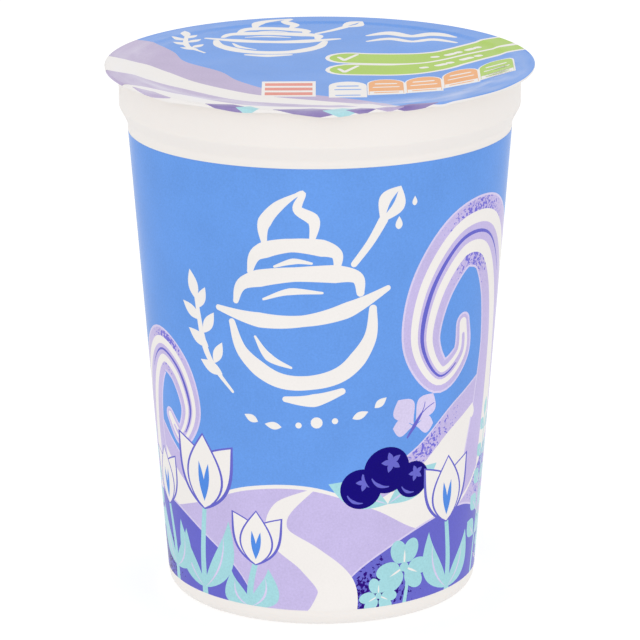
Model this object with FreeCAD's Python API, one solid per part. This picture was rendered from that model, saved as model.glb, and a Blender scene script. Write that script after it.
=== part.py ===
"""Filled and sealed yogurt pot: a tapered plastic pot, its moulded-in printed film and its foil lid.

Millimetres. The origin is the centre of the resting plane, +Z is up through the pot's axis, and -Y is the
front, where the printed film carries its main panel. The film's butt seam is at the back, on +Y.
"""
import FreeCAD, Part
import math
import os

# Pot, from the body up. Radii are outside radii.
POT_HEIGHT = 121.6  # resting plane to the flange's top face
NECK_RADIUS = 43.2  # body just under the shoulder
WALL_DRAFT_DEG = 4.4  # lean of the tapered wall
SHOULDER_STEP = 1.8  # how far the skirt stands out past the neck
SHOULDER_RISE = 3.4  # height of the sloped shoulder between neck and skirt
SKIRT_HEIGHT = 8.0  # straight band between shoulder and flange
FLANGE_OVERHANG = 2.4  # flange past the skirt
FLANGE_THICKNESS = 0.9
SEAL_LAND_WIDTH = 3.7  # flat ring of the flange that the foil is welded to
MOUTH_SINK = 0.5  # contents' flat level, and the foil on it, below the seal land

# Pot, underside
HEEL_RADIUS = 3.8  # outer rounding between wall and base
FOOT_WIDTH = 1.6  # flat resting ring
BASE_RECESS = 1.8  # underside raised inside the foot ring
RECESS_SLOPE_RUN = 1.5  # width of the sloped side of the recess
STACKING_RING_WIDTH = 9.0  # lower step of the recess, next to its slope
STACKING_RING_RISE = 0.6  # rise from that step to the middle
GATE_RADIUS = 1.6  # moulding gate's flat button in the middle
GATE_HEIGHT = 0.5

# Corner roundings of the pot
FLANGE_EDGE_ROUND = 0.25
FLANGE_ROOT_ROUND = 0.5
SKIRT_EDGE_ROUND = 1.4
NECK_ROUND = 2.2
RECESS_ROUND = 0.5

# Printed film, moulded flush into the wall
FILM_THICKNESS = 0.12
FILM_FOOT_HEIGHT = 4.2  # its lower edge above the resting plane
FILM_TOP_GAP = 1.6  # its upper edge below the neck
FILM_SEAM_GAP = 0.8  # bare strip where its two ends almost meet

# Foil lid
FOIL_THICKNESS = 0.15
FOIL_EDGE_CLEARANCE = 0.55  # between the flange's edge and the foil bent over it
FOIL_BEND_WIDTH = 0.35  # top ring over which the foil starts to bend
FOIL_BEND_DROP = 0.4  # how far its edge hangs where it isn't pressed down
FOIL_STEP_CLEARANCE = 0.4  # between the mouth's wall and the foil's step
FOIL_STEP_RUN = 0.9  # width of the sloped step inside the mouth
FOIL_RIPPLE = 0.02  # small waves all round the hanging edge
FOIL_RIPPLE_COUNT = 17
# Lobes of the hanging edge: direction from +X in degrees, half width in degrees, extra drop.
FOIL_LOBES = (
    (-134.0, 9.0, 0.12),
    (-111.0, 8.5, 0.3),
    (-87.5, 11.5, 0.8),
    (-66.0, 7.5, 0.22),
    (-56.5, 4.0, 0.2),
)
EDGE_STATIONS = 144  # directions at which the hanging edge is worked out

# Places that follow from the sizes above
flange_radius = NECK_RADIUS + SHOULDER_STEP + FLANGE_OVERHANG
flange_underside = POT_HEIGHT - FLANGE_THICKNESS
skirt_radius = NECK_RADIUS + SHOULDER_STEP
shoulder_top = flange_underside - SKIRT_HEIGHT
neck_height = shoulder_top - SHOULDER_RISE
mouth_radius = flange_radius - SEAL_LAND_WIDTH
draft = math.tan(math.radians(WALL_DRAFT_DEG))
film_top = neck_height - FILM_TOP_GAP


def wall_radius(height):
    """Outside radius of the tapered wall at a height."""
    return NECK_RADIUS - (neck_height - height) * draft


def film_seat_radius(height):
    """Radius of the wall under the film, one film thickness in from the outside."""
    return wall_radius(height) - FILM_THICKNESS


def rounded_wire(corners):
    """A closed wire in the XZ plane. Each corner is (radius from the axis, height, rounding)."""
    count = len(corners)
    points = [FreeCAD.Vector(r, 0, z) for r, z, _ in corners]
    starts, ends, middles = [], [], []
    for i, (_, _, rounding) in enumerate(corners):
        back = (points[i - 1] - points[i]).normalize()
        ahead = (points[(i + 1) % count] - points[i]).normalize()
        half = back.getAngle(ahead) / 2
        reach = rounding / math.tan(half)
        starts.append(points[i] + back * reach)
        ends.append(points[i] + ahead * reach)
        inward = (back + ahead).normalize()
        middles.append(points[i] + inward * (rounding / math.sin(half) - rounding))
    edges = []
    for i, (_, _, rounding) in enumerate(corners):
        if rounding > 0:
            edges.append(Part.Arc(starts[i], middles[i], ends[i]).toShape())
        edges.append(Part.LineSegment(ends[i], starts[(i + 1) % count]).toShape())
    return Part.Wire(edges)


def revolved(corners, degrees=360.0):
    """The solid swept by the corners' outline about the pot's axis."""
    face = Part.Face(rounded_wire(corners))
    return face.revolve(FreeCAD.Vector(0, 0, 0), FreeCAD.Vector(0, 0, 1), degrees)


def base_corners():
    """Underside from the axis out to the foot: gate button, stepped recess and foot ring."""
    foot_outer = wall_radius(0) - HEEL_RADIUS
    foot_inner = foot_outer - FOOT_WIDTH
    slope_top = foot_inner - RECESS_SLOPE_RUN
    step = slope_top - STACKING_RING_WIDTH
    middle = BASE_RECESS + STACKING_RING_RISE
    return [
        (0, middle - GATE_HEIGHT, 0),
        (GATE_RADIUS, middle - GATE_HEIGHT, 0),
        (GATE_RADIUS, middle, 0),
        (step - STACKING_RING_RISE, middle, RECESS_ROUND),
        (step, BASE_RECESS, RECESS_ROUND),
        (slope_top, BASE_RECESS, RECESS_ROUND),
        (foot_inner, 0, RECESS_ROUND),
    ]


def make_pot():
    """Pot and contents as one closed body, with a shallow seat for the film in its wall."""
    contents_top = POT_HEIGHT - MOUTH_SINK
    corners = base_corners() + [
        (wall_radius(0), 0, HEEL_RADIUS),
        (wall_radius(FILM_FOOT_HEIGHT), FILM_FOOT_HEIGHT, 0),
        (film_seat_radius(FILM_FOOT_HEIGHT), FILM_FOOT_HEIGHT, 0),
        (film_seat_radius(film_top), film_top, 0),
        (wall_radius(film_top), film_top, 0),
        (NECK_RADIUS, neck_height, NECK_ROUND),
        (skirt_radius, shoulder_top, SKIRT_EDGE_ROUND),
        (skirt_radius, flange_underside, FLANGE_ROOT_ROUND),
        (flange_radius, flange_underside, FLANGE_EDGE_ROUND),
        (flange_radius, POT_HEIGHT, FLANGE_EDGE_ROUND),
        (mouth_radius, POT_HEIGHT, FLANGE_EDGE_ROUND),
        (mouth_radius, contents_top, 0),
        (0, contents_top, 0),
    ]
    return revolved(corners)


def make_printed_film():
    """The film: a thin cone that fills its seat, open by the seam's gap at the back."""
    corners = [
        (film_seat_radius(FILM_FOOT_HEIGHT), FILM_FOOT_HEIGHT, 0),
        (wall_radius(FILM_FOOT_HEIGHT), FILM_FOOT_HEIGHT, 0),
        (wall_radius(film_top), film_top, 0),
        (film_seat_radius(film_top), film_top, 0),
    ]
    gap = math.degrees(FILM_SEAM_GAP / NECK_RADIUS)
    film = revolved(corners, 360.0 - gap)
    film.rotate(FreeCAD.Vector(0, 0, 0), FreeCAD.Vector(0, 0, 1), 90.0 + gap / 2)
    return film


def edge_drop(degrees):
    """How far the foil's edge hangs below its top face in one direction."""
    drop = FOIL_THICKNESS + FOIL_BEND_DROP
    drop += FOIL_RIPPLE * math.sin(math.radians(degrees * FOIL_RIPPLE_COUNT))
    for direction, half_width, depth in FOIL_LOBES:
        turn = (degrees - direction + 180.0) % 360.0 - 180.0
        if abs(turn) < half_width:
            drop += depth * (0.5 + 0.5 * math.cos(math.pi * turn / half_width))
    return drop


def edge_curve(radius, height):
    """A closed smooth curve at a radius. height(degrees) is its height in each direction."""
    turns = [360.0 * i / EDGE_STATIONS for i in range(EDGE_STATIONS)]
    points = [
        FreeCAD.Vector(
            radius * math.cos(math.radians(turn)),
            radius * math.sin(math.radians(turn)),
            height(turn),
        )
        for turn in turns
    ]
    curve = Part.BSplineCurve()
    curve.interpolate(
        Points=points,
        PeriodicFlag=True,
        Parameters=[i / EDGE_STATIONS for i in range(EDGE_STATIONS + 1)],
    )
    return curve.toShape()


def circle_edge(radius, height):
    """A full circle about the pot's axis."""
    return Part.Circle(
        FreeCAD.Vector(0, 0, height), FreeCAD.Vector(0, 0, 1), radius
    ).toShape()


def make_foil_lid():
    """The lid: a sunk panel, a ring on the seal land, and a hanging edge bent over the flange in lobes."""
    top = POT_HEIGHT + FOIL_THICKNESS
    ring_outer = flange_radius - FOIL_BEND_WIDTH
    step_outer = mouth_radius - FOIL_STEP_CLEARANCE
    step_inner = step_outer - FOIL_STEP_RUN
    lip_inner = flange_radius + FOIL_EDGE_CLEARANCE
    lip_outer = lip_inner + FOIL_THICKNESS
    shoulder_drop = FOIL_THICKNESS * 0.75

    def hanging(turn):
        return top - edge_drop(turn)

    upper = [
        circle_edge(step_inner, top - MOUTH_SINK),
        circle_edge(step_outer, top),
        circle_edge(ring_outer, top),
        circle_edge(lip_outer, top - shoulder_drop),
        edge_curve(lip_outer, hanging),
    ]
    lower = [
        edge_curve(lip_inner, hanging),
        circle_edge(lip_inner, top - shoulder_drop - FOIL_THICKNESS),
        circle_edge(ring_outer, POT_HEIGHT),
        circle_edge(step_outer, POT_HEIGHT),
        circle_edge(step_inner, POT_HEIGHT - MOUTH_SINK),
    ]
    rings = upper + lower
    faces = [Part.makeRuledSurface(a, b) for a, b in zip(rings, rings[1:])]
    faces.append(Part.Face(Part.Wire(rings[0])))
    faces.append(Part.Face(Part.Wire(rings[-1])))
    shell = Part.makeShell(faces)
    shell.sewShape()
    solid = Part.Solid(Part.Shell(shell.Faces))
    if solid.Volume < 0:
        solid.reverse()
    return solid


def main():
    """Builds each piece and writes it to its own file."""
    pieces = {
        "pot": make_pot(),
        "printed_film": make_printed_film(),
        "foil_lid": make_foil_lid(),
    }
    os.makedirs("parts", exist_ok=True)
    for name, shape in pieces.items():
        shape.exportStep(f"parts/{name}.step")
        print(name, "valid", shape.isValid(), "volume", round(shape.Volume, 1))


main()
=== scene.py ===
"""Looks of a filled and sealed yogurt pot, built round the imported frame.

The white pot, the printed film on its wall and the printed foil lid are three sub-assemblies. Their sizes
are in millimetres and their meshes in metres. The front of the pot faces -Y. Each print is laid out flat, as
it leaves the press, cut along the outlines of its shapes, and then wrapped on the wall or formed over the
flange.
"""
import logging
import math
from dataclasses import dataclass, field
from enum import Enum
from typing import Callable, Iterable, Sequence, Union

import bpy
import numpy as np
from mathutils import Matrix, Vector, noise
from mathutils.geometry import delaunay_2d_cdt


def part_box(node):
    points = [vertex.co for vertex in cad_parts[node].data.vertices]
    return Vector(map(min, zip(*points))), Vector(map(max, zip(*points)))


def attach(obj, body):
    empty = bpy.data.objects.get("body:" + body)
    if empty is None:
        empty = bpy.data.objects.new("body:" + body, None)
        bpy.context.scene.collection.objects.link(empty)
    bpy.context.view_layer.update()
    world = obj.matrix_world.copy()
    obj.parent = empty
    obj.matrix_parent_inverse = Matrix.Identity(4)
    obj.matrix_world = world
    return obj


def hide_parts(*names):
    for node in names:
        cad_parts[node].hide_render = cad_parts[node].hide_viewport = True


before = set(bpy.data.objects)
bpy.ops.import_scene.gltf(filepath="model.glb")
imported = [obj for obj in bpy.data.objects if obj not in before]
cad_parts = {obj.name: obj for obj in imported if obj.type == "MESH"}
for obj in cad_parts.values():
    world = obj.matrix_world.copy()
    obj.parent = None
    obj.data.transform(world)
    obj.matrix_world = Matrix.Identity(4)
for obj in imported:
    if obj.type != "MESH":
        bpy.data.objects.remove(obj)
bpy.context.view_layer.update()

MM = 0.001
BODY = "root"
LOG = logging.getLogger("yogurt_pot")

Point = tuple[float, float]
Outline = list[Point]
Colour = tuple[int, int, int]

PAINTED_SHEEN_WHITE: Colour = (238, 238, 246)  # painted sheen: the whitish colour that the foil's print is pulled towards, in place of reflected light
PURE_WHITE = (1, 1, 1, 1)  # of the lights, linear with alpha

# Sizes that several sub-assemblies share.
WALL_DRAFT = math.radians(4.4)  # lean of the tapered wall
SHOULDER_RISE = 3.4  # height of the sloped shoulder between neck and skirt
SKIRT_HEIGHT = 8.0  # straight band between shoulder and flange
FLANGE_THICKNESS = 0.9
LAND_WIDTH = 3.7  # flat ring of the flange that the foil is welded to
FOIL_ROOM = 0.06  # kept free above the foil's seal ring

CURVE_STEPS = 9  # stretches between two points of a smooth line
CAP_STEPS = 9  # stretches of a stroke's round end


# ---------------------------------------------------------------------------------------------- shader tools


@dataclass(frozen=True)
class Field:
    """A number that varies over a surface, for arithmetic in Python expressions."""

    tree: bpy.types.NodeTree
    socket: bpy.types.NodeSocket

    def _math(self, operation: str, first: "Number", second: "Number") -> "Field":
        """Adds one Math node.

        Args:
            operation: The node's operation.
            first: Its first value.
            second: Its second value.

        Returns:
            The node's result.
        """
        node = self.tree.nodes.new("ShaderNodeMath")
        node.operation = operation
        for socket, value in zip(node.inputs, (first, second)):
            if isinstance(value, Field):
                self.tree.links.new(value.socket, socket)
            else:
                socket.default_value = value
        return Field(self.tree, node.outputs[0])

    def __add__(self, other: "Number") -> "Field":
        """Sum."""
        return self._math("ADD", self, other)

    def __radd__(self, other: "Number") -> "Field":
        """Sum, with the number on the left."""
        return self._math("ADD", other, self)

    def __sub__(self, other: "Number") -> "Field":
        """Difference."""
        return self._math("SUBTRACT", self, other)

    def __rsub__(self, other: "Number") -> "Field":
        """Difference, with the number on the left."""
        return self._math("SUBTRACT", other, self)

    def __mul__(self, other: "Number") -> "Field":
        """Product."""
        return self._math("MULTIPLY", self, other)

    def __rmul__(self, other: "Number") -> "Field":
        """Product, with the number on the left."""
        return self._math("MULTIPLY", other, self)

    def __gt__(self, other: "Number") -> "Field":
        """1 where this is the larger one, else 0."""
        return self._math("GREATER_THAN", self, other)


Number = Union[Field, float]


class Recipe:
    """Fills one node tree."""

    def __init__(self, tree: bpy.types.NodeTree) -> None:
        """Empties the tree.

        Args:
            tree: The tree of a material or of the world.
        """
        self.tree = tree
        tree.nodes.clear()

    def node(self, kind: str, settings: dict, sockets: dict) -> bpy.types.Node:
        """Adds one node.

        Args:
            kind: The node's type.
            settings: Its properties, set first.
            sockets: Its inputs by name or number, each a constant, a socket or a Field.

        Returns:
            The node.
        """
        made = self.tree.nodes.new(kind)
        for name, value in settings.items():
            setattr(made, name, value)
        for name, value in sockets.items():
            if isinstance(value, Field):
                self.tree.links.new(value.socket, made.inputs[name])
            elif isinstance(value, bpy.types.NodeSocket):
                self.tree.links.new(value, made.inputs[name])
            else:
                made.inputs[name].default_value = value
        return made

    def here(self) -> bpy.types.NodeSocket:
        """The place on the object, in metres."""
        return self.node("ShaderNodeTexCoord", {}, {}).outputs["Object"]

    def noise(self, per_metre: float, detail: float = 1.0, roughness: float = 0.5) -> Field:
        """A noise field about 0.5.

        Args:
            per_metre: How many features fit in a metre.
            detail: Octaves on top of the first.
            roughness: Weight of those octaves.

        Returns:
            The field.
        """
        sockets = {"Vector": self.here(), "Scale": per_metre, "Detail": detail, "Roughness": roughness}
        made = self.node("ShaderNodeTexNoise", {"noise_dimensions": "3D"}, sockets)
        return Field(self.tree, made.outputs[0])

    def attribute(self, name: str) -> Field:
        """A number stored on the mesh."""
        made = self.node("ShaderNodeAttribute", {"attribute_name": name}, {})
        return Field(self.tree, made.outputs["Fac"])

    def ray(self, kind: str) -> Field:
        """1 for a ray of some kind, such as Camera, else 0."""
        return Field(self.tree, self.node("ShaderNodeLightPath", {}, {}).outputs[f"Is {kind} Ray"])

    def mix(self, share: Number, first: object, second: object) -> bpy.types.NodeSocket:
        """Blends two colours.

        Args:
            share: Share of the second colour.
            first: The first colour, or its socket.
            second: The second colour, or its socket.

        Returns:
            The blended colour.
        """
        settings = {"data_type": "RGBA", "clamp_factor": True}
        return self.node("ShaderNodeMix", settings, {0: share, 6: first, 7: second}).outputs[2]

    def bump(self, height: Field, depth_mm: float) -> bpy.types.NodeSocket:
        """Turns a height field into a normal.

        Args:
            height: The field.
            depth_mm: How deep a step from 0 to 1 is.

        Returns:
            The normal.
        """
        sockets = {"Strength": 1.0, "Distance": depth_mm * MM, "Height": height}
        return self.node("ShaderNodeBump", {}, sockets).outputs[0]

    def principled(self, sockets: dict) -> None:
        """Ends a material's tree in one Principled surface.

        Args:
            sockets: The surface's inputs by name.
        """
        shader = self.node("ShaderNodeBsdfPrincipled", {}, sockets)
        self.node("ShaderNodeOutputMaterial", {}, {"Surface": shader.outputs[0]})


def blank_material(name: str) -> tuple[bpy.types.Material, Recipe]:
    """A new material, and the recipe that fills its tree.

    Args:
        name: The material's name.

    Returns:
        The material and its recipe.
    """
    made = bpy.data.materials.new(name)
    made.use_nodes = True
    return made, Recipe(made.node_tree)


def linear(colour: Colour, gain: float = 1.0) -> tuple[float, float, float, float]:
    """Turns a display colour into the linear one that a shader takes.

    Args:
        colour: Red, green and blue from 0 to 255.
        gain: Factor on the linear colour.

    Returns:
        Linear red, green, blue and an alpha of 1.
    """
    parts = []
    for level in colour:
        share = level / 255
        straight = share / 12.92 if share <= 0.04045 else ((share + 0.055) / 1.055) ** 2.4
        parts.append(min(1.0, straight * gain))
    return (parts[0], parts[1], parts[2], 1.0)


# -------------------------------------------------------------------------------------------------- finishes


@dataclass(frozen=True)
class PrintInk:
    """One ink under clear lacquer: a field of colour with press grain, soft mottling and optional stippling.

    Its real shine is the lacquer's, which is the shader's coat. A painted sheen, in place of reflected light,
    also pulls its colour towards white where the mesh asks for it.
    """

    name: str
    colour: Colour
    stipple: Colour | None = None
    stipple_per_metre: float = 1500.0
    mottle: float = 0.02
    mottle_per_metre: float = 85.0
    grain: float = 0.05
    grain_per_metre: float = 2400.0
    dimples_per_metre: float = 900.0
    dimple_mm: float = 0.006
    roughness: float = 0.42

    def material(self) -> bpy.types.Material:
        """Makes the ink's material.

        Returns:
            The material.
        """
        made, recipe = blank_material(self.name)
        clouds = recipe.noise(self.mottle_per_metre, 2.0) - 0.5
        specks = recipe.noise(self.grain_per_metre, 1.0) - 0.5
        spread = self.mottle + self.grain
        share = 0.5 + clouds * (4.0 * self.mottle / spread) + specks * 1.6
        colour = recipe.mix(share, linear(self.colour, 1 - spread), linear(self.colour, 1 + spread))
        if self.stipple:
            flecks = recipe.noise(self.stipple_per_metre, 2.0, 0.65)
            bare = 0.78 - recipe.attribute("stipple") * 0.42
            colour = recipe.mix(flecks > bare, colour, linear(self.stipple))
        recipe.principled(
            {
                # Painted sheen: the colour is pulled towards near-white by a value stored on the mesh, in
                # place of light reflected off the foil.
                "Base Color": recipe.mix(recipe.attribute("painted_sheen"), colour, linear(PAINTED_SHEEN_WHITE)),
                "Roughness": self.roughness + specks * 0.10,
                "Normal": recipe.bump(recipe.noise(self.dimples_per_metre, 2.0), self.dimple_mm),
                "Specular IOR Level": 0.0,
                "Coat Weight": 0.65,
                "Coat IOR": 1.22,
                "Coat Roughness": 0.12,
            }
        )
        return made


@dataclass(frozen=True)
class WhitePlastic:
    """Thin white polypropylene, slightly translucent, with a soft moulded shine."""

    name: str = "white_polypropylene"
    colour: Colour = (240, 235, 231)
    roughness: float = 0.36
    flow_per_metre: float = 28.0
    swell_per_metre: float = 90.0
    skin_per_metre: float = 700.0
    skin_mm: float = 0.010

    def material(self) -> bpy.types.Material:
        """Makes the plastic's material.

        Returns:
            The material.
        """
        made, recipe = blank_material(self.name)
        flow = recipe.noise(self.flow_per_metre, 2.0)
        skin = recipe.noise(self.skin_per_metre, 3.0, 0.6)
        swell = recipe.noise(self.swell_per_metre, 1.0)
        recipe.principled(
            {
                "Base Color": recipe.mix(flow, linear(self.colour, 0.985), linear(self.colour, 1.01)),
                "Roughness": self.roughness + (flow - 0.5) * 0.12 + (skin - 0.5) * 0.08,
                "Normal": recipe.bump(skin * 0.7 + swell * 2.0, self.skin_mm),
                "IOR": 1.49,
                "Subsurface Weight": 0.15,
                "Subsurface Radius": (1.0, 0.9, 0.8),
                "Subsurface Scale": 0.0012,
            }
        )
        return made


@dataclass(frozen=True)
class BareFoil:
    """Unprinted underside and cut edge of the lid: aluminium under white heat-seal lacquer."""

    name: str = "bare_foil"
    colour: Colour = (247, 247, 249)
    roughness: float = 0.38
    rolled_per_metre: float = 600.0
    rolled_mm: float = 0.01

    def material(self) -> bpy.types.Material:
        """Makes the foil's material.

        Returns:
            The material.
        """
        made, recipe = blank_material(self.name)
        rolled = recipe.noise(self.rolled_per_metre, 3.0, 0.6)
        recipe.principled(
            {
                "Base Color": recipe.mix(rolled, linear(self.colour, 0.94), linear(self.colour, 1.03)),
                "Roughness": self.roughness + (rolled - 0.5) * 0.2,
                "Metallic": 0.12,
                "Normal": recipe.bump(rolled, self.rolled_mm),
            }
        )
        return made


class Ink(Enum):
    """The inks of both prints."""

    SKY = PrintInk("ink_sky", (104, 155, 231))
    HEART = PrintInk("ink_heart_blue", (82, 140, 228))
    LILAC = PrintInk("ink_lilac", (198, 186, 229), stipple=(118, 112, 214))
    HAZE = PrintInk("ink_haze", (216, 206, 238))
    MAUVE = PrintInk("ink_mauve", (134, 116, 176))
    VIOLET = PrintInk("ink_violet", (105, 104, 202), stipple=(44, 4, 124), stipple_per_metre=1150.0)
    NAVY = PrintInk("ink_navy", (16, 0, 118))
    LAVENDER = PrintInk("ink_lavender", (188, 173, 207))
    MINT = PrintInk("ink_mint", (164, 215, 222))
    WHITE = PrintInk("ink_white", (240, 236, 233), mottle=0.008, grain=0.008)
    LIME = PrintInk("ink_lime", (170, 205, 78))
    ORANGE = PrintInk("ink_orange", (240, 170, 108))
    CORAL = PrintInk("ink_coral", (230, 141, 126))


# ------------------------------------------------------------------------------------------------- outlines


def turned(points: Iterable[Point], degrees: float) -> Outline:
    """Points turned anticlockwise about the origin."""
    c, s = math.cos(math.radians(degrees)), math.sin(math.radians(degrees))
    return [(c * x - s * y, s * x + c * y) for x, y in points]


def moved(points: Iterable[Point], x: float, y: float) -> Outline:
    """Points moved by (x, y)."""
    return [(px + x, py + y) for px, py in points]


def smooth(points: Sequence[Point], closed: bool = True) -> Outline:
    """A curve through points.

    Args:
        points: The points that it passes.
        closed: Whether it returns to its first point.

    Returns:
        The curve's points.
    """
    count = len(points)
    made: Outline = []
    for i in range(count if closed else count - 1):
        if closed:
            a, b, c, d = (points[(i + k) % count] for k in (-1, 0, 1, 2))
        else:
            a, b, c, d = (points[min(max(i + k, 0), count - 1)] for k in (-1, 0, 1, 2))
        for step in range(CURVE_STEPS):
            t = step / CURVE_STEPS
            weights = (
                (-t + 2 * t * t - t**3) / 2,
                (2 - 5 * t * t + 3 * t**3) / 2,
                (t + 4 * t * t - 3 * t**3) / 2,
                (t**3 - t * t) / 2,
            )
            made.append(
                (
                    sum(w * p[0] for w, p in zip(weights, (a, b, c, d))),
                    sum(w * p[1] for w, p in zip(weights, (a, b, c, d))),
                )
            )
    if not closed:
        made.append(tuple(points[-1]))
    return made


def oblong(left: float, low: float, right: float, high: float) -> Outline:
    """A box between two sides, a foot and a top."""
    return [(left, low), (right, low), (right, high), (left, high)]


def ellipse(x: float, y: float, rx: float, ry: float, turn: float = 0.0, count: int = 36) -> Outline:
    """An ellipse about (x, y), turned by some degrees.

    Args:
        x: Of its centre.
        y: Of its centre.
        rx: Half width.
        ry: Half height.
        turn: Degrees that it is turned, anticlockwise.
        count: Points round it.

    Returns:
        The outline.
    """
    angles = [2 * math.pi * i / count for i in range(count)]
    return moved(turned([(rx * math.cos(a), ry * math.sin(a)) for a in angles], turn), x, y)


def petal(length: float, width: float, fullest: float = 0.5, bow: float = 0.0) -> Outline:
    """A petal or leaf that grows up from the origin.

    Args:
        length: From base to tip.
        width: Where it is fullest.
        fullest: That place, as a share of the length.
        bow: How far its middle line bends to the right.

    Returns:
        The outline.
    """
    power = math.log(0.5) / math.log(fullest)
    count = 16

    def side(sign: int, t: float) -> Point:
        """The point of one side at a share of the length."""
        half = width / 2 * math.sin(math.pi * t**power)
        return (bow * 4 * t * (1 - t) + sign * half, length * t)

    right = [side(1, i / count) for i in range(count + 1)]
    left = [side(-1, i / count) for i in range(count - 1, 0, -1)]
    return right + left


def ribbon(path: Sequence[Point], *widths: float) -> Outline:
    """A stroke along a path.

    Args:
        path: Points along its middle.
        widths: Its widths, spread evenly from the path's start to its end.

    Returns:
        The outline, with rounded ends.
    """
    reach = [0.0]
    for (x1, y1), (x2, y2) in zip(path, path[1:]):
        reach.append(reach[-1] + math.hypot(x2 - x1, y2 - y1))
    left: Outline = []
    right: Outline = []
    for i, (x, y) in enumerate(path):
        before, after = path[max(i - 1, 0)], path[min(i + 1, len(path) - 1)]
        dx, dy = after[0] - before[0], after[1] - before[1]
        size = math.hypot(dx, dy) or 1.0
        place = reach[i] / reach[-1] * (len(widths) - 1)
        low = min(int(place), len(widths) - 2) if len(widths) > 1 else 0
        high = min(low + 1, len(widths) - 1)
        half = (widths[low] + (widths[high] - widths[low]) * (place - low)) / 2
        left.append((x - dy / size * half, y + dx / size * half))
        right.append((x + dy / size * half, y - dx / size * half))
    return right + cap(right[-1], left[-1]) + left[::-1] + cap(left[0], right[0])


def cap(start: Point, end: Point) -> Outline:
    """Points of half a turn from start to end, anticlockwise, without the two ends.

    Args:
        start: Where the half turn starts.
        end: Where it ends.

    Returns:
        The points.
    """
    cx, cy = (start[0] + end[0]) / 2, (start[1] + end[1]) / 2
    arm = (start[0] - cx, start[1] - cy)
    return [moved(turned([arm], 180 * k / CAP_STEPS), cx, cy)[0] for k in range(1, CAP_STEPS)]


def arc(radius: float, start: float, sweep: float, count: int) -> Outline:
    """Points of an arc about the origin.

    Args:
        radius: Of the arc.
        start: Direction of its start, in degrees from +X.
        sweep: Degrees that it turns, anticlockwise if positive.
        count: Stretches along it.

    Returns:
        The points.
    """
    angles = [math.radians(start + sweep * i / count) for i in range(count + 1)]
    return [(radius * math.cos(angle), radius * math.sin(angle)) for angle in angles]


# --------------------------------------------------------------------------------------------- printed sheets


@dataclass(frozen=True)
class Stipple:
    """Where a patch is stippled: densest at (x, y), fading out at a distance."""

    x: float
    y: float
    reach: float
    strength: float = 1.0

    def at(self, x: float, y: float) -> float:
        """The density at a point, from 0 to 1."""
        return self.strength * max(0.0, 1.0 - math.hypot(x - self.x, y - self.y) / self.reach)


@dataclass(frozen=True)
class Patch:
    """One shape in one ink."""

    ink: Ink
    outline: Outline
    stipple: Stipple | None = None


Motif = list[Patch]


def placed(
    motif: Motif, x: float, y: float, turn: float = 0.0, size: float = 1.0, flip: bool = False
) -> Motif:
    """A motif at another place.

    Args:
        motif: Its patches.
        x: Where its origin goes.
        y: Where its origin goes.
        turn: Degrees that it is turned, anticlockwise.
        size: Factor on its size.
        flip: Whether left and right change places first.

    Returns:
        The new patches.
    """
    across = -size if flip else size

    def carry(points: Iterable[Point]) -> Outline:
        """Points at the new place."""
        return moved(turned([(px * across, py * size) for px, py in points], turn), x, y)

    made = []
    for patch in motif:
        stipple = None
        if patch.stipple:
            sx, sy = carry([(patch.stipple.x, patch.stipple.y)])[0]
            stipple = Stipple(sx, sy, patch.stipple.reach * size, patch.stipple.strength)
        made.append(Patch(patch.ink, carry(patch.outline), stipple))
    return made


def inside(outline: Outline, places: np.ndarray) -> np.ndarray:
    """Tells which places an outline winds round.

    Args:
        outline: The outline, which may cross itself.
        places: The places, one a row.

    Returns:
        True for each place that lies inside.
    """
    start = np.array(outline)
    end = np.roll(start, -1, axis=0)
    x, y = places[:, :1], places[:, 1:]
    side = (end[:, 0] - start[:, 0]) * (y - start[:, 1]) - (x - start[:, 0]) * (end[:, 1] - start[:, 1])
    rises = (start[:, 1] <= y) & (end[:, 1] > y) & (side > 0)
    falls = (start[:, 1] > y) & (end[:, 1] <= y) & (side < 0)
    return rises.sum(axis=1) != falls.sum(axis=1)


def no_painted_sheen(x: float, y: float) -> float:
    """The painted sheen of a sheet that has none, the same at every point."""
    return 0.0


@dataclass
class Sheet:
    """A flat printed sheet: its cut outline, its ground colour and the patches on it, later ones on top.

    Its sheen function gives how far a painted sheen, in place of reflected light, whitens the print at a
    point, from 0 to 1.
    """

    outline: Outline
    ground: Ink
    patches: Motif = field(default_factory=list)
    painted_sheen: Callable[[float, float], float] = no_painted_sheen

    def add(self, ink: Ink, outline: Outline, stipple: Stipple | None = None) -> None:
        """Prints one more patch."""
        self.patches.append(Patch(ink, outline, stipple))

    def cut(self, fill: Iterable[Point]) -> tuple[Outline, list[tuple[int, int, int]], list[Patch]]:
        """Cuts the sheet into triangles along every outline.

        Args:
            fill: Further points, so that no triangle is too large to bend.

        Returns:
            The points, the triangles and the patch that shows on each.
        """
        layers = [Patch(self.ground, self.outline)] + self.patches
        points: list[Vector] = []
        edges: list[tuple[int, int]] = []
        for layer in layers:
            first, count = len(points), len(layer.outline)
            edges += [(first + k, first + (k + 1) % count) for k in range(count)]
            points.extend(Vector(p) for p in layer.outline)
        points.extend(Vector(p) for p in fill)
        corners, _, faces, _, _, _ = delaunay_2d_cdt(points, edges, [], 0, 1e-4, False)
        flat = np.array([tuple(corner) for corner in corners])
        middles = flat[np.array(faces)].mean(axis=1)
        shown = np.full(len(faces), -1)
        for number, layer in enumerate(layers):
            low, high = np.min(layer.outline, axis=0), np.max(layer.outline, axis=0)
            near = np.nonzero(((middles >= low) & (middles <= high)).all(axis=1))[0]
            near = near[inside(layer.outline, middles[near])]
            shown[near[shown[near] >= 0] if number else near] = number
        kept = [(face, layers[number]) for face, number in zip(faces, shown) if number >= 0]
        used = sorted({corner for face, _ in kept for corner in face})
        order = {corner: i for i, corner in enumerate(used)}
        triangles = [tuple(order[corner] for corner in face) for face, _ in kept]
        return [tuple(corners[corner]) for corner in used], triangles, [layer for _, layer in kept]


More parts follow.
